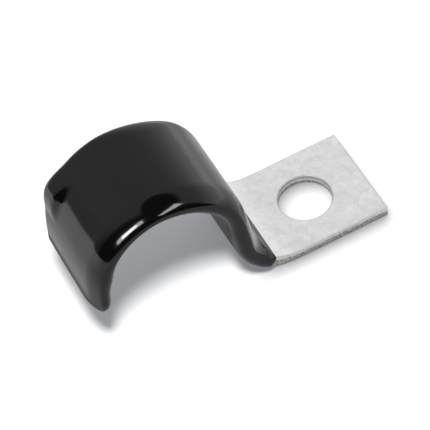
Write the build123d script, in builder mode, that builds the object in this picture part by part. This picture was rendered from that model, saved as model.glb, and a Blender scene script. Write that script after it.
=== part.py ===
from build123d import *

import os

# A half clamp: a bent steel strap with a screw hole in its tab and a dipped vinyl coating round its loop.
# The strap runs along X, from the free end of the tab at +X to the open leg at -X, and its width lies
# along Y. Z = 0 is the face of the tab that sits on the mounting surface, and the origin is the centre of
# the screw hole in that face.

# Steel strap, in millimetres
strap_width = 12.7
strap_thickness = 1.2
strap_edge_roll = 0.15
tab_corner_radius = 0.4
hole_radius = 3.15
hole_to_tab_end = 7.35
hole_to_heel = 3.5
leg_corner_radius = 1.2

# Bends of the strap's mid-line, from the tab to the leg: radii in millimetres, turns in degrees
heel_radius = 9.4
heel_turn = 9.5
foot_radius = 6.0
foot_turn = 74.0
wall_length = 4.3
shoulder_radius = 9.85
shoulder_turn = 43.0
crown_turn = 114.0
knuckle_radius = 2.5
knuckle_turn = 9.5
leg_length = 4.4

# Vinyl coating, and the tube that its loop holds
tube_radius = 7.0
coat_on_faces = 0.7
coat_on_edges = 0.45
coat_on_tip = 0.75
coat_edge_round = 1.12
coat_tip_corner = 2.0
bead_height = 0.3
bead_lead = 16.0
bead_run = 2.9

# The coating starts part of the way round the foot bend, and its end draws back in the strap's middle
dip_turn = 24.0
dip_recess = 1.4
dip_middle = 4.4

# Faces that turn less than this across an edge, in degrees, run smoothly into each other
seam_angle = 20.0
length_tolerance = 1e-4

# Worked out from the sizes above
half_thickness = strap_thickness / 2
coat_offset = half_thickness + coat_on_faces
coat_width = strap_width + 2 * coat_on_edges
crown_radius = tube_radius + coat_offset
trim_reach = 2 * foot_radius
tab_start = Vector(hole_to_tab_end, half_thickness)
heading_inward = Vector(-1, 0)

# Each stretch of the mid-line is a straight run, or a bend that turns left (+) or right (-)
tab_run = ("run", hole_to_tab_end + hole_to_heel)
heel_bend = ("bend", heel_radius, -heel_turn)
foot_bend = ("bend", foot_radius, -foot_turn)
wall_run = ("run", wall_length)
shoulder_bend = ("bend", shoulder_radius, shoulder_turn)
crown_bend = ("bend", crown_radius, crown_turn)
knuckle_bend = ("bend", knuckle_radius, knuckle_turn)
leg_run = ("run", leg_length)
before_foot = [tab_run, heel_bend]
loop = [wall_run, shoulder_bend, crown_bend, knuckle_bend]


def outward(heading):
    """Unit normal to the strap, on the side of the loop's outer face."""
    return Vector(heading.Y, -heading.X)


def follow(stretches, place, heading, offset=0.0, mode=Mode.ADD):
    """Draw stretches beside the mid-line, offset toward its outer face, and give their end and heading.

    The place given and the place returned lie on the mid-line itself.
    """
    for stretch in stretches:
        start = place + outward(heading) * offset
        if stretch[0] == "run":
            drawn = Line(start, start + heading * stretch[1], mode=mode)
        else:
            _, radius, turn = stretch
            drawn_radius = radius + offset if turn > 0 else radius - offset
            drawn = JernArc(start, (heading.X, heading.Y), drawn_radius, turn, mode=mode)
            heading = heading.rotate(Axis.Z, turn)
        place = drawn @ 1 - outward(heading) * offset
    return place, heading


def measure(stretches, place=tab_start, heading=heading_inward):
    """Where the mid-line gets to, and which way it heads there, with nothing drawn."""
    return follow(stretches, place, heading, mode=Mode.PRIVATE)


def sharp_edges(shape, part):
    """Edges of the shape where two faces of its part meet at an angle, leaving out tangent seams."""
    found = ShapeList()
    for edge in shape.edges():
        sides = [face for face in part.faces() if edge in face.edges()]
        if len(sides) == 2:
            first, second = (side.normal_at(edge @ 0.5) for side in sides)
            if first.get_angle(second) > seam_angle:
                found.append(edge)
    return found


def edges_as_long_as(length, builder):
    """Straight edges of that length, from the leg's end to the tab's end."""
    lines = builder.edges().filter_by(GeomType.LINE)
    return lines.filter_by(lambda edge: abs(edge.length - length) < length_tolerance).sort_by(Axis.X)


# The strap: one bent blank of constant thickness, with the punched screw hole
strap_stretches = [*before_foot, foot_bend, *loop, leg_run]
strap_end, leg_heading = measure(strap_stretches)

with BuildPart() as steel_strap:
    with BuildSketch(Plane.XZ):
        with BuildLine():
            for side in (half_thickness, -half_thickness):
                follow(strap_stretches, tab_start, heading_inward, side)
            for place, heading in ((tab_start, heading_inward), (strap_end, leg_heading)):
                to_face = outward(heading) * half_thickness
                Line(place + to_face, place - to_face)
        make_face()
    extrude(amount=strap_width / 2, both=True)
    blank_corners = edges_as_long_as(strap_thickness, steel_strap)
    fillet(blank_corners[-2:], radius=tab_corner_radius)
    fillet(blank_corners[:2], radius=leg_corner_radius)
    with Locations((0, 0, half_thickness)):
        Hole(radius=hole_radius)
    # The strap and its hole are punched from the side of the tab's top face, which rolls those edges over
    punched_face = steel_strap.faces().filter_by(Plane.XY).sort_by(Axis.Z)[-1]
    chamfer(sharp_edges(punched_face, steel_strap.part), length=strap_edge_roll)

steel_strap.part.label = "steel_strap"

# Places along the mid-line that the coating is drawn from
foot_start, foot_heading = measure(before_foot)
dip_place, dip_heading = measure([("bend", foot_radius, -dip_turn)], foot_start, foot_heading)
leg_start, _ = measure([*before_foot, foot_bend, *loop])
coat_tip = strap_end + leg_heading * coat_on_tip
leg_outward = outward(leg_heading) * coat_offset
foot_outward = outward(foot_heading) * coat_offset

# The trim plane touches the foot bend where the coating ends along the strap's edges
dip_plane = Plane(
    origin=(dip_place.X, 0, dip_place.Y),
    x_dir=(dip_heading.X, 0, dip_heading.Y),
    z_dir=(outward(dip_heading).X, 0, outward(dip_heading).Y),
)

with BuildPart() as vinyl_coating:
    # The loop thickened on both faces, with a bead on the outside where the coating hung to set
    with BuildSketch(Plane.XZ):
        with BuildLine():
            short_crown = ("bend", crown_radius, crown_turn - bead_lead)
            before_bead = [foot_bend, wall_run, shoulder_bend, short_crown]
            bead_start, bead_heading = follow(before_bead, foot_start, foot_heading, coat_offset)
            bead = Spline(
                bead_start + outward(bead_heading) * coat_offset,
                leg_start + outward(leg_heading) * (coat_offset + bead_height),
                leg_start + leg_heading * bead_run + leg_outward,
                tangents=[bead_heading, leg_heading],
            )
            Line(bead @ 1, coat_tip + leg_outward)
            Line(coat_tip + leg_outward, coat_tip - leg_outward)
            follow([foot_bend, *loop], foot_start, foot_heading, -coat_offset)
            Line(leg_start - leg_outward, coat_tip - leg_outward)
            Line(foot_start - foot_outward, foot_start + foot_outward)
        make_face()
    extrude(amount=coat_width / 2, both=True)
    fillet(edges_as_long_as(2 * coat_offset, vinyl_coating)[:2], radius=coat_tip_corner)
    # Trim the end on the foot bend to its dip line
    with BuildSketch(dip_plane):
        with BuildLine():
            dip_line = Spline(
                (0, coat_width / 2),
                (dip_recess, dip_middle / 2),
                (dip_recess, -dip_middle / 2),
                (0, -coat_width / 2),
                tangents=[(0, -1), (0, -1)],
            )
            Polyline(
                dip_line @ 1,
                (0, -coat_width),
                (-trim_reach, -coat_width),
                (-trim_reach, coat_width),
                (0, coat_width),
                dip_line @ 0,
            )
        make_face()
    extrude(amount=foot_radius, both=True, mode=Mode.SUBTRACT)
    fillet(sharp_edges(vinyl_coating.part, vinyl_coating.part), radius=coat_edge_round)
    # The coating is hollow where the strap runs through it
    add(steel_strap.part, mode=Mode.SUBTRACT)

vinyl_coating.part.label = "vinyl_coating"

os.makedirs("parts", exist_ok=True)
export_step(steel_strap.part, "parts/steel_strap.step")
export_step(vinyl_coating.part, "parts/vinyl_coating.step")
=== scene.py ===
import bisect
import math

import bmesh
import bpy
from mathutils import Matrix, Vector, noise


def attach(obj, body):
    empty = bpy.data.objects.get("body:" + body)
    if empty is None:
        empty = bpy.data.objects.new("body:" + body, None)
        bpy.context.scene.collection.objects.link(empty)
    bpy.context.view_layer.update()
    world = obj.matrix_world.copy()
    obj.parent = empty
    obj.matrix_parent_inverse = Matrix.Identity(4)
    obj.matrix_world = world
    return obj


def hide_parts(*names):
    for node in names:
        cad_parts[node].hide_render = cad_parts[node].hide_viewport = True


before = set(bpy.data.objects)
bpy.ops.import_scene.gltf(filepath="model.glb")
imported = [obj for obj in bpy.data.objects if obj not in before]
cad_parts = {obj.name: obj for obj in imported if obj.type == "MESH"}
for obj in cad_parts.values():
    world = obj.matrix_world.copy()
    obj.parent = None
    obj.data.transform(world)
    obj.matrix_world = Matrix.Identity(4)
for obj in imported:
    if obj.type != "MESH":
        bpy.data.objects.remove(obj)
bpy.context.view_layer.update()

# Sizes are in metres. Turns are in radians, apart from those of the soft boxes and the camera, which are in
# degrees. The origin is the centre of the screw hole on the floor side of the tab. +X points from the loop
# to the tab's free end, and Y runs along the tube that the loop holds: -Y is the front and +Y the back.

# Strap
HALF_WIDTH = 0.00635
HALF_THICKNESS = 0.0006
TAB_CORNER = 0.00028
LEG_CORNER = 0.0012
HOLE_RADIUS = 0.00315
HOLE_TO_TAB_END = 0.00735
TAB_LENGTH = 0.01085

# Coating
COAT_HALF_WIDTH = 0.0068
COAT_HALF_THICKNESS = 0.0013
COAT_ON_TIP = 0.00075

# Mid-line of the strap from the tab's free end: length and bend radius of each stretch, left turns positive
FOOT_RADIUS = 0.006
SHOULDER_RADIUS = 0.00985
CROWN_RADIUS = 0.0083
KNUCKLE_RADIUS = 0.016
HEEL = (math.radians(9.5) * 0.0094, -0.0094)
FOOT = (math.radians(74.0) * FOOT_RADIUS, -FOOT_RADIUS)
WALL = (0.0043, 0.0)
SHOULDER = (math.radians(43.0) * SHOULDER_RADIUS, SHOULDER_RADIUS)
CROWN = (math.radians(114.0) * CROWN_RADIUS, CROWN_RADIUS)
KNUCKLE = (math.radians(12.0) * KNUCKLE_RADIUS, KNUCKLE_RADIUS)
LEG = (0.0016, 0.0)
STRETCHES = [(TAB_LENGTH, 0.0), HEEL, FOOT, WALL, SHOULDER, CROWN, KNUCKLE, LEG]
DIP_TURN = math.radians(24.0)
CROWN_FROM = math.radians(49.5)

# Stations along the mid-line
FOOT_AT = TAB_LENGTH + HEEL[0]
DIP_AT = FOOT_AT + DIP_TURN * FOOT_RADIUS
KNUCKLE_AT = FOOT_AT + FOOT[0] + WALL[0] + SHOULDER[0] + CROWN[0]
LEG_AT = KNUCKLE_AT + KNUCKLE[0]
STRAP_END = LEG_AT + LEG[0]
TIP_AT = STRAP_END + COAT_ON_TIP


def travel(x, z, heading, run, radius):
    """Where a run along a stretch of that bend radius leads: x, z and heading."""
    if not radius:
        return x + run * math.cos(heading), z + run * math.sin(heading), heading
    turned = heading + run / radius
    x += radius * (math.sin(turned) - math.sin(heading))
    z -= radius * (math.cos(turned) - math.cos(heading))
    return x, z, turned


def line_starts():
    """Where each stretch of the mid-line starts: station, x, z, heading and bend radius."""
    starts, at, x, z, heading = [], 0.0, HOLE_TO_TAB_END, HALF_THICKNESS, math.pi
    for length, radius in STRETCHES:
        starts.append((at, x, z, heading, radius))
        x, z, heading = travel(x, z, heading, length, radius)
        at += length
    return starts


LINE = line_starts()
LINE_STATIONS = [row[0] for row in LINE]


def place(s, y, n):
    """The point at station s, y across the strap and n off its mid-line, toward the loop's outer face."""
    at, x, z, heading, radius = LINE[max(0, bisect.bisect(LINE_STATIONS, s) - 1)]
    x, z, heading = travel(x, z, heading, s - at, radius)
    return Vector((x + n * math.sin(heading), y, z - n * math.cos(heading)))


def crown_angle(s):
    """Angle round the crown's centre at station s, from +X."""
    return CROWN_FROM + (s - KNUCKLE_AT + CROWN[0]) / CROWN_RADIUS


def smooth(t):
    """0 below t = 0, 1 above t = 1, and a smooth step between them."""
    t = min(1.0, max(0.0, t))
    return t * t * (3 - 2 * t)


def hump(t):
    """1 at t = 0, falling smoothly to 0 at t = 1 and t = -1."""
    return 1 - smooth(abs(t))


def quarter(t):
    """Height of a quarter circle of radius 1 at distance t in from its foot."""
    t = min(1.0, max(0.0, t))
    return math.sqrt(1 - (1 - t) ** 2)


def spread(low, high, step):
    """Evenly spaced values from low to high, about one step apart."""
    count = max(1, round((high - low) / step))
    return [low + (high - low) * i / count for i in range(count + 1)]


def add_object(name, data):
    """A new object in the scene."""
    made = bpy.data.objects.new(name, data)
    bpy.context.scene.collection.objects.link(made)
    return made


def join_rings(bm, rings, material_index=0):
    """Faces between closed rings of vertices that follow each other."""
    for ring, following in zip(rings, rings[1:]):
        for i in range(len(ring)):
            j = (i + 1) % len(ring)
            face = bm.faces.new((ring[i], ring[j], following[j], following[i]))
            face.material_index = material_index


def finish_piece(name, bm, materials, replaced):
    """Make a piece of the mesh, smooth shaded, riding on the part's one body in place of a CAD node."""
    bmesh.ops.recalc_face_normals(bm, faces=bm.faces)
    mesh = bpy.data.meshes.new(name)
    bm.to_mesh(mesh)
    bm.free()
    mesh.polygons.foreach_set("use_smooth", [True] * len(mesh.polygons))
    for material in materials:
        mesh.materials.append(material)
    piece = add_object(name, mesh)
    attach(piece, "root")
    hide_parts(replaced)
    return piece


# Coating: sections across the strap, lofted along the mid-line and closed at both ends
COAT_STEP = 0.00016
END_STEPS = 12
FLAT_STEPS = 30
CORNER_STEPS = 16

# Each edge is rounded over a reach across the strap and a depth off its face, both at most a share of the
# section's half size. The back edge reaches further over the shoulder.
FRONT_EDGE = 0.0027
FRONT_INNER_EDGE = 0.0017
FRONT_DEPTH = 0.00112
EDGE_FULLNESS = 1.6
BACK_EDGE = 0.0009
BACK_DEPTH = 0.0007
BACK_EDGE_EXTRA = 0.0015
BACK_EDGE_AT = math.radians(72.0)
BACK_EDGE_REACH = math.radians(32.0)
MOST_REACH = 0.9
MOST_DEPTH = 0.92

# The end at the dip line, which draws back in the strap's middle
COAT_AT_DIP = 0.00005
COAT_END_LENGTH = 0.0012
DIP_RECESS = 0.0014
DIP_MIDDLE = 0.0022
DIP_MIDDLE_FRONT = 0.0044
DIP_SHIFT_LENGTH = 4 * COAT_END_LENGTH

# The tip
TIP_CORNER = 0.0018
TIP_EDGE = 0.0010
TIP_HANG = 0.0006
TIP_HANG_MIDDLE = 0.1
TIP_HANG_LENGTH = 0.003

# The leg, which is slimmer than the loop
LEG_THINNING = 0.0003
LEG_THINNING_FROM = KNUCKLE_AT - 0.003
LEG_THINNING_LENGTH = 0.007
LEG_INNER_THINNING = 0.00018
LEG_INNER_LENGTH = 0.004
LEG_NARROWING = 0.00015
LEG_NARROWING_LENGTH = 0.003

# The lump of vinyl at the back of the knuckle
LUMP_HEIGHT = 0.0006
LUMP_ACROSS = 0.0011
LUMP_ALONG = 0.003
LUMP_FROM_EDGE = 0.0025
LUMP_BEFORE_LEG = 0.0023

# The loop's inner face, a little taller than wide
OVAL_TOP = math.radians(107.0)
OVAL_SPREAD = 0.0003
OVAL_RISE = 0.00018
WALL_SWELL = 0.00012
WALL_SWELL_LENGTH = 0.003
OVAL_FROM = KNUCKLE_AT - CROWN[0] - 0.003
OVAL_LENGTH = 0.004

# The sag over the shoulder, the coating's faint waves, and how its swelling fades toward its ends and edges
SAG = 0.00017
SAG_AT = math.radians(68.0)
SAG_REACH = math.radians(38.0)
WAVE_HEIGHT = 0.00002
WAVE_LENGTH = 0.004
WAVE_START = 0.002
SWELL_BEFORE_TIP = 0.0002
SWELL_FADE = 0.001
SWELL_FULL = 0.7 * COAT_HALF_THICKNESS


def coat_stations():
    """Distances from the dip line to the tip, closer together where the ends round over."""
    length = TIP_AT - DIP_AT
    turns = [math.pi / 2 * i / END_STEPS for i in range(1, END_STEPS)]
    first = [COAT_END_LENGTH * (1 - math.cos(turn)) for turn in turns]
    last = [length - TIP_CORNER * (1 - math.cos(turn)) for turn in reversed(turns)]
    middle = spread(COAT_END_LENGTH, length - TIP_CORNER, COAT_STEP)
    return [0.0, *first, *middle, *last, length]


def edge_reach(side, face, along):
    """How far a rounded edge reaches across the strap, on one side and face of a section."""
    if side < 0:
        return FRONT_EDGE if face > 0 else FRONT_INNER_EDGE
    from_shoulder = crown_angle(DIP_AT + along) - BACK_EDGE_AT
    return BACK_EDGE + BACK_EDGE_EXTRA * hump(from_shoulder / BACK_EDGE_REACH)


def rounded_corner(side, face, flat, reach, level, depth):
    """Points over one rounded edge of a section, from its side to its face."""
    power = 2 / EDGE_FULLNESS if side < 0 < face else 1.0
    points = []
    for i in range(CORNER_STEPS + 1):
        turn = math.pi / 2 * i / CORNER_STEPS
        y = flat + reach * math.cos(turn) ** power
        points.append((side * y, face * (level - depth + depth * math.sin(turn) ** power)))
    return points


def section_size(along):
    """Half width and half thickness of the section at that distance from the dip line."""
    to_tip = TIP_AT - DIP_AT - along
    end = quarter(along / COAT_END_LENGTH)
    start_width = HALF_WIDTH + COAT_AT_DIP
    half_width = start_width + (COAT_HALF_WIDTH - start_width) * end
    half_width -= TIP_CORNER * (1 - quarter(to_tip / TIP_CORNER))
    half_width -= LEG_NARROWING * smooth((DIP_AT + along - KNUCKLE_AT) / LEG_NARROWING_LENGTH)
    start_thickness = HALF_THICKNESS + COAT_AT_DIP
    half_thickness = start_thickness + (COAT_HALF_THICKNESS - start_thickness) * end
    half_thickness -= TIP_EDGE * (1 - quarter(to_tip / TIP_EDGE))
    return half_width, half_thickness


def coat_section(along):
    """(y, n) round the section at that distance from the dip line."""
    end = quarter(along / COAT_END_LENGTH)
    half_width, half_thickness = section_size(along)

    def reach(side, face):
        return min(edge_reach(side, face, along) * end, MOST_REACH * half_width)

    points = []
    for side, face in ((1, 1), (-1, 1), (-1, -1), (1, -1)):
        flat = half_width - reach(side, face)
        depth = min((BACK_DEPTH if side > 0 else FRONT_DEPTH) * end, MOST_DEPTH * half_thickness)
        corner = rounded_corner(side, face, flat, reach(side, face), half_thickness, depth)
        if side != face:
            points += corner[::-1]
            continue
        first, last = side * flat, -side * (half_width - reach(-side, face))
        across = [first + (last - first) * i / FLAT_STEPS for i in range(1, FLAT_STEPS)]
        points += corner + [(y, face * half_thickness) for y in across]
    return points


def dip_shift(y):
    """How far the dip line draws back from the tab at y across the strap."""
    middle = DIP_MIDDLE if y > 0 else DIP_MIDDLE_FRONT
    return DIP_RECESS * smooth((COAT_HALF_WIDTH - abs(y)) / (COAT_HALF_WIDTH - middle))


def tip_shift(y):
    """How far the tip hangs past its nominal end at y: past it at the front, short of it at the back."""
    return TIP_HANG * (TIP_HANG_MIDDLE - (1 - TIP_HANG_MIDDLE) * y / COAT_HALF_WIDTH)


def lump(s, y):
    """Extra thickness on the outer face at the back of the knuckle, where the vinyl gathered."""
    if y <= 0:
        return 0.0
    from_plateau = max(0.0, (COAT_HALF_WIDTH - LUMP_FROM_EDGE - y) / LUMP_ACROSS)
    along = (s - KNUCKLE_AT + LUMP_BEFORE_LEG) / LUMP_ALONG
    return LUMP_HEIGHT * hump(from_plateau) * hump(along)


def outer_swell(s, y):
    """How much the outer face is thicker than nominal: a lump at the knuckle, and a thinner leg."""
    return lump(s, y) - LEG_THINNING * smooth((s - LEG_THINNING_FROM) / LEG_THINNING_LENGTH)


def inner_swell(s):
    """How much the inner face is thicker than nominal: a loop taller than wide, and a thinner leg."""
    turned = min(crown_angle(s), CROWN_FROM + CROWN[0] / CROWN_RADIUS)
    oval = OVAL_SPREAD * (turned - OVAL_TOP) ** 2 - OVAL_RISE
    wall = WALL_SWELL * smooth((s - DIP_AT) / WALL_SWELL_LENGTH)
    leg = LEG_INNER_THINNING * smooth((s - KNUCKLE_AT) / LEG_INNER_LENGTH)
    return wall + (oval - wall) * smooth((s - OVAL_FROM) / OVAL_LENGTH) - leg


def coat_point(along, y, n):
    """Where a point of the section at that distance from the dip line goes."""
    to_tip = TIP_AT - DIP_AT - along
    s = DIP_AT + along + dip_shift(y) * hump(along / DIP_SHIFT_LENGTH)
    s += tip_shift(y) * smooth(1 - to_tip / TIP_HANG_LENGTH)
    wave = WAVE_HEIGHT * noise.noise(Vector((s, y, n)) / WAVE_LENGTH) * quarter(along / WAVE_START)
    share = min(1.0, abs(n) / SWELL_FULL) * smooth((to_tip - SWELL_BEFORE_TIP) / SWELL_FADE)
    swell = wave + share * (outer_swell(s, y) if n > 0 else inner_swell(s))
    sag = SAG * hump((crown_angle(s) - SAG_AT) / SAG_REACH)
    return place(s, y, n - sag + math.copysign(1, n) * swell)


def make_coating(material):
    """The dipped vinyl round the loop, as one closed skin that the strap's mesh runs into."""
    bm = bmesh.new()
    rings = []
    for along in coat_stations():
        rings.append([bm.verts.new(coat_point(along, y, n)) for y, n in coat_section(along)])
    join_rings(bm, rings)
    bm.faces.new(rings[0])
    bm.faces.new(rings[-1])
    return finish_piece("vinyl_skin", bm, [material], "vinyl_coating")


# Strap: an outline in (station, y) with sheared edges, folded along the mid-line
ROLL_WIDTH = 0.00013
ROLL_DEPTH = 0.00012
ROLL_STEPS = 5
BURR_CHAMFER = 0.00003
EDGE_ROWS = 8
EDGE_STEP = 0.00015
HIDDEN_STEP = 0.0004
CORNER_SEGMENTS = 8
HOLE_SEGMENTS = 168

# The upper part of a sheared edge is burnished and the rest is torn, as shares of the thickness
BURNISHED_SHARE = 0.38
HOLE_BURNISHED_SHARE = 0.66
TEAR_ONSET = 0.15
TEAR_DEPTH = 0.00006
TEAR_LENGTH = 0.0003
TEAR_SPAN = 0.0008

# The strap is drawn narrower where the coating hides it, so that it can't show through
SEEN_PAST_DIP = 0.004
HIDDEN_DRAW = 0.11
HIDDEN_DRAW_FROM = DIP_AT + 0.002
HIDDEN_DRAW_LENGTH = 0.002
LEG_END_HALF = HALF_WIDTH - LEG_CORNER


def edge_profile():
    """(distance in from the outline, height off the mid-line, share of the way down) down a sheared edge."""
    rows = []
    for i in range(ROLL_STEPS + 1):
        turn = math.pi / 2 * i / ROLL_STEPS
        rolled = ROLL_DEPTH * (1 - math.cos(turn))
        rows.append((ROLL_WIDTH * (1 - math.sin(turn)), HALF_THICKNESS - rolled))
    low = -HALF_THICKNESS + BURR_CHAMFER
    top = rows[-1][1]
    rows += [(0.0, top + (low - top) * i / EDGE_ROWS) for i in range(1, EDGE_ROWS + 1)]
    rows.append((BURR_CHAMFER, -HALF_THICKNESS))
    return [(inset, n, (HALF_THICKNESS - n) / (2 * HALF_THICKNESS)) for inset, n in rows]


def strap_sides():
    """Stations of the points down each long side of the outline."""
    seen_to = DIP_AT + SEEN_PAST_DIP
    tab = spread(TAB_CORNER, TAB_LENGTH, EDGE_STEP)
    bends = spread(TAB_LENGTH, seen_to, EDGE_STEP)[1:]
    hidden = spread(seen_to, STRAP_END - LEG_CORNER, HIDDEN_STEP)[1:]
    return tab + bends + hidden


def leg_end():
    """The y values across the end of the leg."""
    return spread(-LEG_END_HALF, LEG_END_HALF, HIDDEN_STEP)


def corner_points(s, y, turn_from, radius):
    """Outline points round a corner centred on (s, y), with their outward normals."""
    turns = [turn_from + math.pi / 2 * i / CORNER_SEGMENTS for i in range(1, CORNER_SEGMENTS)]
    return [(s + radius * math.cos(t), y + radius * math.sin(t), math.cos(t), math.sin(t)) for t in turns]


def strap_outline(stations):
    """(station, y, outward normal) round the strap, starting down its back side from the tab."""
    first, last = stations[0], stations[-1]
    outline = [(s, HALF_WIDTH, 0.0, 1.0) for s in stations]
    outline += corner_points(last, LEG_END_HALF, 0.0, LEG_CORNER)[::-1]
    outline += [(STRAP_END, y, 1.0, 0.0) for y in reversed(leg_end())]
    outline += corner_points(last, -LEG_END_HALF, -math.pi / 2, LEG_CORNER)[::-1]
    outline += [(s, -HALF_WIDTH, 0.0, -1.0) for s in reversed(stations)]
    tab = HALF_WIDTH - TAB_CORNER
    outline += corner_points(first, -tab, math.pi, TAB_CORNER)[::-1]
    outline += [(0.0, y, -1.0, 0.0) for y in spread(-tab, tab, EDGE_STEP)]
    outline += corner_points(first, tab, math.pi / 2, TAB_CORNER)[::-1]
    return outline


def hole_outline():
    """(station, y, normal toward the hole's centre) round the screw hole."""
    outline = []
    for i in range(HOLE_SEGMENTS):
        turn = 2 * math.pi * i / HOLE_SEGMENTS
        out_s, out_y = -math.cos(turn), -math.sin(turn)
        outline.append((HOLE_TO_TAB_END - HOLE_RADIUS * out_s, -HOLE_RADIUS * out_y, out_s, out_y))
    return outline


def tear(s, y, down, burnished):
    """How far the torn lower part of a sheared edge is cut back."""
    torn = smooth((down - burnished) / TEAR_ONSET)
    return TEAR_DEPTH * torn * abs(noise.noise(Vector((s, y, down * TEAR_SPAN)) / TEAR_LENGTH))


def width_left(s):
    """Share of the strap's width that is left at station s: less where the coating hides it."""
    return 1 - HIDDEN_DRAW * smooth((s - HIDDEN_DRAW_FROM) / HIDDEN_DRAW_LENGTH)


def edge_rings(bm, outline, depth_layer, burnished):
    """Rows of vertices down the sheared edge of a closed outline, from the top face to the bottom face.

    The layer keeps how far down each vertex lies, counted from where the torn part of the edge starts.
    """
    rings = []
    for inset, n, down in edge_profile():
        ring = []
        for s, y, out_s, out_y in outline:
            step = -tear(s, y, down, burnished) - inset
            width = (y + step * out_y) * width_left(s)
            vertex = bm.verts.new(place(s + step * out_s, width, n))
            vertex[depth_layer] = down - burnished
            ring.append(vertex)
        rings.append(ring)
    join_rings(bm, rings, material_index=1)
    return rings


def fill_face(bm, outer, hole, stations):
    """The top or bottom face: strips across the bends, and a flat tab filled round the hole."""
    count = len(stations)
    far_from = count + 2 * (CORNER_SEGMENTS - 1) + len(leg_end())
    near, far = outer[:count], outer[far_from:far_from + count][::-1]
    bend = min(range(count), key=lambda i: abs(stations[i] - TAB_LENGTH))
    for i in range(bend, count - 1):
        bm.faces.new((near[i], near[i + 1], far[i + 1], far[i]))
    bm.faces.new(outer[count - 1:far_from + 1])
    tab_ring = outer[far_from + count - 1 - bend:] + near[:bend + 1]
    edges = [bm.edges.get((a, b)) for a, b in zip(tab_ring, tab_ring[1:])]
    edges.append(bm.edges.get((near[bend], far[bend])))
    edges += [bm.edges.get((a, b)) for a, b in zip(hole, hole[1:] + hole[:1])]
    bmesh.ops.triangle_fill(bm, use_beauty=True, edges=edges, normal=(0, 0, 1))


def make_strap(face_material, edge_material):
    """The bent steel strap with its punched hole and sheared edges."""
    bm = bmesh.new()
    depth_layer = bm.verts.layers.float.new("shear_depth")
    stations = strap_sides()
    outer = edge_rings(bm, strap_outline(stations), depth_layer, BURNISHED_SHARE)
    hole = edge_rings(bm, hole_outline(), depth_layer, HOLE_BURNISHED_SHARE)
    for row in (0, -1):
        fill_face(bm, outer[row], hole[row], stations)
    materials = [face_material, edge_material]
    strap = finish_piece("steel_strip", bm, materials, "steel_strap")
    normals = strap.modifiers.new("face normals", "WEIGHTED_NORMAL")
    normals.weight = 100
    return strap


# Nodes
def connect(node, inputs):
    """Link each input of the node that is given a socket, and set the others."""
    for name, value in inputs.items():
        socket = node.inputs[name]
        if isinstance(value, bpy.types.NodeSocket):
            node.id_data.links.new(value, socket)
        else:
            socket.default_value = value


def add_node(tree, kind, inputs=None, **settings):
    """A new node of the tree, with its settings and inputs."""
    node = tree.nodes.new(kind)
    for name, value in settings.items():
        setattr(node, name, value)
    connect(node, inputs or {})
    return node


def arithmetic(tree, operation, first, second):
    """The result of a Math node."""
    return add_node(tree, "ShaderNodeMath", {0: first, 1: second}, operation=operation).outputs[0]


def value_range(tree, value, low, high, new_low, new_high, **settings):
    """The result of a Map Range node."""
    inputs = {"Value": value, "From Min": low, "From Max": high, "To Min": new_low, "To Max": new_high}
    return add_node(tree, "ShaderNodeMapRange", inputs, **settings).outputs["Result"]


def cloud(tree, where, scale, detail, roughness=0.5):
    """The factor of a Noise Texture node."""
    inputs = {"Vector": where, "Scale": scale, "Detail": detail, "Roughness": roughness}
    return add_node(tree, "ShaderNodeTexNoise", inputs).outputs["Fac"]


def blend_colours(tree, factor, first, second):
    """A colour between two others."""
    inputs = {"Factor": factor, "A": first, "B": second}
    return add_node(tree, "ShaderNodeMix", inputs, data_type="RGBA").outputs["Result"]


def relief(tree, height, strength, distance):
    """The normal of a Bump node."""
    inputs = {"Height": height, "Strength": strength, "Distance": distance}
    return add_node(tree, "ShaderNodeBump", inputs).outputs["Normal"]


def object_place(tree):
    """Coordinates in metres on the object itself."""
    return add_node(tree, "ShaderNodeTexCoord").outputs["Object"]


# Materials: the scales of clouds and cells are counted per metre, and a cloud runs mostly from low to high
CLOUD_LOW, CLOUD_HIGH = 0.3, 0.7

# Vinyl
VINYL_DARK = (0.002, 0.002, 0.0022, 1)
VINYL_LIGHT = (0.004, 0.004, 0.0042, 1)
VINYL_ROUGHNESS = (0.09, 0.12)
VINYL_IOR = 1.52
VINYL_CLOUD_SCALE = 420.0
PEEL_SCALE = 900.0
PEEL_STRENGTH = 0.3
PEEL_HEIGHT = 0.00003

# Zinc
ZINC_DARK = (0.84, 0.842, 0.85, 1)
ZINC_LIGHT = (1.0, 0.998, 0.99, 1)
ZINC_ROUGHNESS = (0.38, 0.5)
ZINC_METALLIC = 0.5
SPANGLE_SCALE = 1300.0
SPANGLE_SHARE = 0.35
BLOTCH_SCALE = 1900.0
BLOTCH_ROUGHNESS = 0.65
ZINC_SHADE_FROM, ZINC_SHADE_TO = 0.35, 1.0
GRAIN_SCALE = 9000.0
GRAIN_STRENGTH = 0.2
GRAIN_HEIGHT = 0.000004

# Sheared steel: depths down the edge are shares of its thickness, counted from where the torn part starts
BURNISHED_COLOUR = (0.96, 0.96, 0.95, 1)
TORN_COLOUR = (0.64, 0.635, 0.62, 1)
SPECK_COLOUR = (0.32, 0.315, 0.3, 1)
SHEARED_ROUGHNESS = (0.45, 0.65)
SHEARED_METALLIC = 0.6
WANDER_SCALE = 1800.0
WANDER_DEPTH = 0.09
TORN_BLUR = 0.05
GRIT_SCALE = 3600.0
GRIT_ROUGHNESS = 0.7
GRIT_STRENGTH = 0.7
GRIT_HEIGHT = 0.00004
SPECKS_FROM, SPECKS_TO = 0.45, 0.62
# Painted shade: the top of a sheared edge, where it rolls over, is darkened in its colour by this share,
# between these depths
PAINTED_TOP_SHADE = 0.5
PAINTED_TOP_SHADE_FROM, PAINTED_TOP_SHADE_TO = -0.34, -0.26


def new_material(name):
    """A node material and its Principled shader."""
    material = bpy.data.materials.new(name)
    material.use_nodes = True
    return material, material.node_tree.nodes["Principled BSDF"]


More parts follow.
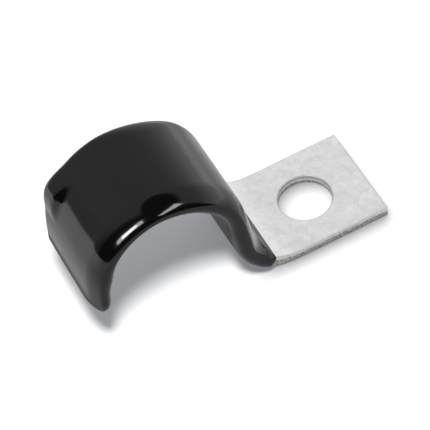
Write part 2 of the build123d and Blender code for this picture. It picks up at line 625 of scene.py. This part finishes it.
def vinyl_material():
    """Glossy black vinyl with a faint orange peel."""
    material, shader = new_material("black_vinyl")
    tree = material.node_tree
    where = object_place(tree)
    clouds = cloud(tree, where, VINYL_CLOUD_SCALE, detail=3.0)
    peel = cloud(tree, where, PEEL_SCALE, detail=2.0)
    connect(shader, {
        "Base Color": blend_colours(tree, clouds, VINYL_DARK, VINYL_LIGHT),
        "Roughness": value_range(tree, clouds, CLOUD_LOW, CLOUD_HIGH, *VINYL_ROUGHNESS),
        "Normal": relief(tree, peel, PEEL_STRENGTH, PEEL_HEIGHT),
        "IOR": VINYL_IOR,
    })
    return material


def zinc_material():
    """Bright zinc with a faint spangle."""
    material, shader = new_material("zinc_face")
    tree = material.node_tree
    where = object_place(tree)
    cells = add_node(tree, "ShaderNodeTexVoronoi", {"Vector": where, "Scale": SPANGLE_SCALE})
    parts = add_node(tree, "ShaderNodeSeparateColor", {"Color": cells.outputs["Color"]})
    spangle = parts.outputs["Red"]
    blotches = cloud(tree, where, BLOTCH_SCALE, detail=5.0, roughness=BLOTCH_ROUGHNESS)
    grain = cloud(tree, where, GRAIN_SCALE, detail=2.0)
    mixed = arithmetic(tree, "ADD", blotches, arithmetic(tree, "MULTIPLY", spangle, SPANGLE_SHARE))
    shade = value_range(tree, mixed, ZINC_SHADE_FROM, ZINC_SHADE_TO, 0.0, 1.0)
    connect(shader, {
        "Base Color": blend_colours(tree, shade, ZINC_DARK, ZINC_LIGHT),
        "Roughness": value_range(tree, spangle, 0.0, 1.0, *ZINC_ROUGHNESS),
        "Normal": relief(tree, grain, GRAIN_STRENGTH, GRAIN_HEIGHT),
        "Metallic": ZINC_METALLIC,
    })
    return material


def sheared_material():
    """Sheared steel: painted shade in a band at the top, a burnished band below it and a dull torn one with
    specks.
    """
    material, shader = new_material("sheared_edge")
    tree = material.node_tree
    where = object_place(tree)
    down = add_node(tree, "ShaderNodeAttribute", attribute_name="shear_depth").outputs["Fac"]
    wander = cloud(tree, where, WANDER_SCALE, detail=3.0)
    wavy = value_range(tree, wander, CLOUD_LOW, CLOUD_HIGH, -WANDER_DEPTH, WANDER_DEPTH)
    torn = value_range(tree, arithmetic(tree, "ADD", down, wavy), -TORN_BLUR, TORN_BLUR, 0.0, 1.0)
    grit = cloud(tree, where, GRIT_SCALE, detail=4.0, roughness=GRIT_ROUGHNESS)
    coarse = value_range(tree, grit, SPECKS_FROM, SPECKS_TO, 0.0, 1.0)
    specks = arithmetic(tree, "MULTIPLY", torn, coarse)
    # Painted shade: the top band of the edge is darkened toward the speck colour, mixed with the real specks
    top = value_range(tree, down, PAINTED_TOP_SHADE_FROM, PAINTED_TOP_SHADE_TO, PAINTED_TOP_SHADE, 0.0)
    bands = blend_colours(tree, torn, BURNISHED_COLOUR, TORN_COLOUR)
    specks_and_painted_shade = arithmetic(tree, "MAXIMUM", specks, top)
    connect(shader, {
        "Base Color": blend_colours(tree, specks_and_painted_shade, bands, SPECK_COLOUR),
        "Roughness": value_range(tree, torn, 0.0, 1.0, *SHEARED_ROUGHNESS),
        "Normal": relief(tree, arithmetic(tree, "MULTIPLY", grit, torn), GRIT_STRENGTH, GRIT_HEIGHT),
        "Metallic": SHEARED_METALLIC,
    })
    return material


# Floor
FLOOR_SIZE = 1.0
FLOOR_GAP = 0.00002
FLOOR_COLOUR = 0.9
FLOOR_LIFT = (0.18, 0.185, 0.2, 1)

# Painted contact shade: the floor's colour is darkened close to the object, on its front side, where an
# occlusion test finds it
CONTACT_REACH = 0.002
CONTACT_LEAN = (0.0, 1.1, 0.0)
CONTACT_FULL = 0.12
CONTACT_SAMPLES = 16

# Painted shade in reflections: how much of the floor's light the gloss shows in front of the object, and
# close to it
FLOOR_IN_FRONT = 0.6
FRONT_FROM, FRONT_TO = -0.01, 0.02
FLOOR_CLOSE = 0.65
CLOSE_FROM, CLOSE_TO = 0.04, 0.09


def white_to_the_eye(tree):
    """A socket that is 1 for camera, glossy and transmission rays, and 0 for the rest."""
    path = add_node(tree, "ShaderNodeLightPath").outputs
    seen = arithmetic(tree, "MAXIMUM", path["Is Camera Ray"], path["Is Glossy Ray"])
    return arithmetic(tree, "MAXIMUM", seen, path["Is Transmission Ray"])


def painted_contact_shade(tree):
    """Painted contact shade: 1 on open floor, and down to 0 just in front of the object."""
    normal = add_node(tree, "ShaderNodeNewGeometry").outputs["Normal"]
    lean = add_node(tree, "ShaderNodeVectorMath", {0: normal, 1: CONTACT_LEAN}, operation="ADD")
    inputs = {"Distance": CONTACT_REACH, "Normal": lean.outputs["Vector"]}
    open_share = add_node(tree, "ShaderNodeAmbientOcclusion", inputs, samples=CONTACT_SAMPLES)
    return value_range(tree, open_share.outputs["AO"], CONTACT_FULL, 1.0, 0.0, 1.0)


def painted_reflection_shade(tree):
    """1 for all rays but glossy ones, which see the floor dimmed by painted shade in front of the object and
    close to it.
    """
    where = object_place(tree)
    split = add_node(tree, "ShaderNodeSeparateXYZ", {"Vector": where})
    away = add_node(tree, "ShaderNodeVectorMath", {0: where}, operation="LENGTH").outputs["Value"]
    front = value_range(tree, split.outputs["Y"], FRONT_FROM, FRONT_TO, FLOOR_IN_FRONT, 1.0)
    close = value_range(tree, away, CLOSE_FROM, CLOSE_TO, FLOOR_CLOSE, 1.0)
    glossy = add_node(tree, "ShaderNodeLightPath").outputs["Is Glossy Ray"]
    return value_range(tree, glossy, 0.0, 1.0, 1.0, arithmetic(tree, "MULTIPLY", front, close))


def floor_material():
    """Pale paper that keeps shadows, lifted to white where nothing shades it, with painted contact shade in
    front of the object and painted shade in its reflections.
    """
    material = bpy.data.materials.new("floor")
    material.use_nodes = True
    tree = material.node_tree
    tree.nodes.clear()
    gloss = painted_reflection_shade(tree)
    # Painted shade: the paper's colour is darkened by the contact shade, and in reflections near and in
    # front of the object
    shade = arithmetic(tree, "MULTIPLY", painted_contact_shade(tree), gloss)
    tint = arithmetic(tree, "MULTIPLY", shade, FLOOR_COLOUR)
    paper = add_node(tree, "ShaderNodeBsdfDiffuse", {"Color": tint})
    lift = arithmetic(tree, "MULTIPLY", white_to_the_eye(tree), gloss)
    glow = add_node(tree, "ShaderNodeEmission", {"Color": FLOOR_LIFT, "Strength": lift})
    both = add_node(tree, "ShaderNodeAddShader", {0: paper.outputs[0], 1: glow.outputs[0]})
    add_node(tree, "ShaderNodeOutputMaterial", {"Surface": both.outputs[0]})
    return material


def make_floor():
    """A pale floor just below the tab."""
    half = FLOOR_SIZE / 2
    corners = [(-half, -half), (half, -half), (half, half), (-half, half)]
    mesh = bpy.data.meshes.new("floor")
    mesh.from_pydata([(x, y, -FLOOR_GAP) for x, y in corners], [], [(0, 1, 2, 3)])
    mesh.materials.append(floor_material())
    floor = add_object("floor", mesh)


# Room: a lit wall round the back whose edges slant, a dark front and a dark ceiling
WALL_LIGHT = 0.54
WALL_DARK = 0.008
WALL_SLANT = -0.35
WALL_EDGE_FROM, WALL_EDGE_TO = -0.18, 0.03
CEILING_SLANT = 0.28
CEILING_FROM, CEILING_TO = 0.96, 0.91
SWEEP_TOP = 0.6
SWEEP_LIGHT = 1.3
WALL_FAR_LEFT = 0.4
FAR_LEFT_FROM, FAR_LEFT_TO = -0.95, -0.7


def lit_share(tree, axes):
    """1 on the lit wall and 0 on the dark front and ceiling, for each direction into the room."""
    slant = arithmetic(tree, "MULTIPLY", axes["X"], WALL_SLANT)
    back = arithmetic(tree, "SUBTRACT", axes["Y"], slant)
    lean = arithmetic(tree, "MULTIPLY", axes["X"], CEILING_SLANT)
    height = arithmetic(tree, "ADD", axes["Z"], lean)
    soft = {"interpolation_type": "SMOOTHSTEP"}
    wall = value_range(tree, back, WALL_EDGE_FROM, WALL_EDGE_TO, 0.0, 1.0, **soft)
    low = value_range(tree, height, CEILING_FROM, CEILING_TO, 0.0, 1.0, **soft)
    return arithmetic(tree, "MULTIPLY", wall, low)


def wall_level(tree, axes):
    """How bright the lit wall is: brighter low down on the right."""
    soft = {"interpolation_type": "SMOOTHSTEP"}
    sweep = value_range(tree, axes["Z"], SWEEP_TOP, 0.0, WALL_LIGHT, SWEEP_LIGHT, **soft)
    return value_range(tree, axes["X"], 0.0, 1.0, WALL_LIGHT, sweep)


def make_world():
    """The room that the object reflects, dimmer far to the left, and plain white to the camera."""
    world = bpy.data.worlds.new("studio")
    bpy.context.scene.world = world
    world.use_nodes = True
    tree = world.node_tree
    tree.nodes.clear()
    into_room = add_node(tree, "ShaderNodeTexCoord").outputs["Generated"]
    axes = add_node(tree, "ShaderNodeSeparateXYZ", {"Vector": into_room}).outputs
    level = value_range(tree, lit_share(tree, axes), 0.0, 1.0, WALL_DARK, wall_level(tree, axes))
    left = value_range(tree, axes["X"], FAR_LEFT_FROM, FAR_LEFT_TO, WALL_FAR_LEFT, 1.0)
    level = arithmetic(tree, "MULTIPLY", level, left)
    room = add_node(tree, "ShaderNodeBackground", {"Strength": level}).outputs[0]
    white = add_node(tree, "ShaderNodeBackground", {"Strength": 1.0}).outputs[0]
    camera_ray = add_node(tree, "ShaderNodeLightPath").outputs["Is Camera Ray"]
    mix = add_node(tree, "ShaderNodeMixShader", {0: camera_ray, 1: room, 2: white})
    add_node(tree, "ShaderNodeOutputWorld", {"Surface": mix.outputs[0]})


# Lamps
SUN_FROM = (-0.10, -0.31, 0.95)
SUN_WIDTH = math.radians(12.0)
SUN_STRENGTH = 3.05
SUN_DISTANCE = 1.0
SOFTBOX_DISTANCE = 0.6
CORE_DISTANCE = 0.55


def aim(lamp, from_direction, distance):
    """Place a lamp out along a direction, facing the origin."""
    away = Vector(from_direction).normalized()
    turn = away.to_track_quat("Z", "Y").to_matrix().to_4x4()
    lamp.matrix_world = Matrix.Translation(away * distance) @ turn


def direction(azimuth, elevation):
    """Unit vector at an azimuth from +Y toward +X and an elevation, both in degrees."""
    turn, rise = math.radians(azimuth), math.radians(elevation)
    return Vector((math.sin(turn) * math.cos(rise), math.cos(turn) * math.cos(rise), math.sin(rise)))


def make_softbox(name, azimuth, elevation, width, height, radiance, lean=0, distance=SOFTBOX_DISTANCE):
    """A soft box seen in the gloss only, with its angular width, height and lean in degrees."""
    data = bpy.data.lights.new(name, "AREA")
    data.shape = "RECTANGLE"
    data.size = 2 * distance * math.tan(math.radians(width) / 2)
    data.size_y = 2 * distance * math.tan(math.radians(height) / 2)
    data.energy = math.pi * data.size * data.size_y * radiance
    lamp = add_object(name, data)
    aim(lamp, direction(azimuth, elevation), distance)
    lamp.matrix_world = lamp.matrix_world @ Matrix.Rotation(math.radians(lean), 4, "Z")
    lamp.visible_diffuse = False


def make_lights():
    """One broad lamp overhead, a soft box with a brighter core to the left and one to the right."""
    data = bpy.data.lights.new("overhead", "SUN")
    data.energy = SUN_STRENGTH
    data.angle = SUN_WIDTH
    lamp = add_object("overhead", data)
    aim(lamp, SUN_FROM, SUN_DISTANCE)
    lamp.visible_glossy = False
    make_softbox("softbox_left", azimuth=-120, elevation=47, width=13, height=40, lean=-30, radiance=8.0)
    make_softbox("softbox_core", azimuth=-119, elevation=47.5, width=9, height=22, lean=-30, radiance=16.0,
                 distance=CORE_DISTANCE)
    make_softbox("softbox_right", azimuth=139, elevation=54, width=34, height=11, radiance=7.0)


# Camera: its place and turns, and the square picture that its focal length is counted in pixels of
CAMERA_AT = (-0.08585, -0.20704, 0.29047)
CAMERA_AZIMUTH = 19.846
CAMERA_DIP = 52.288
CAMERA_ROLL = -9.995
CAMERA_NEAR = 0.01
CAMERA_FAR = 20.0
PICTURE_SIDE = 430
FOCAL_PIXELS = 3200.0
SENSOR = 36.0


def make_camera():
    """The camera at the photograph's viewing angle."""
    data = bpy.data.cameras.new("camera")
    data.sensor_width = SENSOR
    data.lens = FOCAL_PIXELS * SENSOR / PICTURE_SIDE
    data.clip_start = CAMERA_NEAR
    data.clip_end = CAMERA_FAR
    forward = direction(CAMERA_AZIMUTH, -CAMERA_DIP)
    level = direction(CAMERA_AZIMUTH + 90, 0)
    upright = level.cross(forward)
    roll = math.radians(CAMERA_ROLL)
    right = level * math.cos(roll) + upright * math.sin(roll)
    up = upright * math.cos(roll) - level * math.sin(roll)
    camera = add_object("camera", data)
    axes = Matrix((right, up, -forward)).transposed().to_4x4()
    camera.matrix_world = Matrix.Translation(CAMERA_AT) @ axes
    bpy.context.scene.camera = camera


make_camera()
make_coating(vinyl_material())
make_strap(zinc_material(), sheared_material())
make_floor()
make_world()
make_lights()
bpy.context.scene.view_settings.view_transform = "Standard"
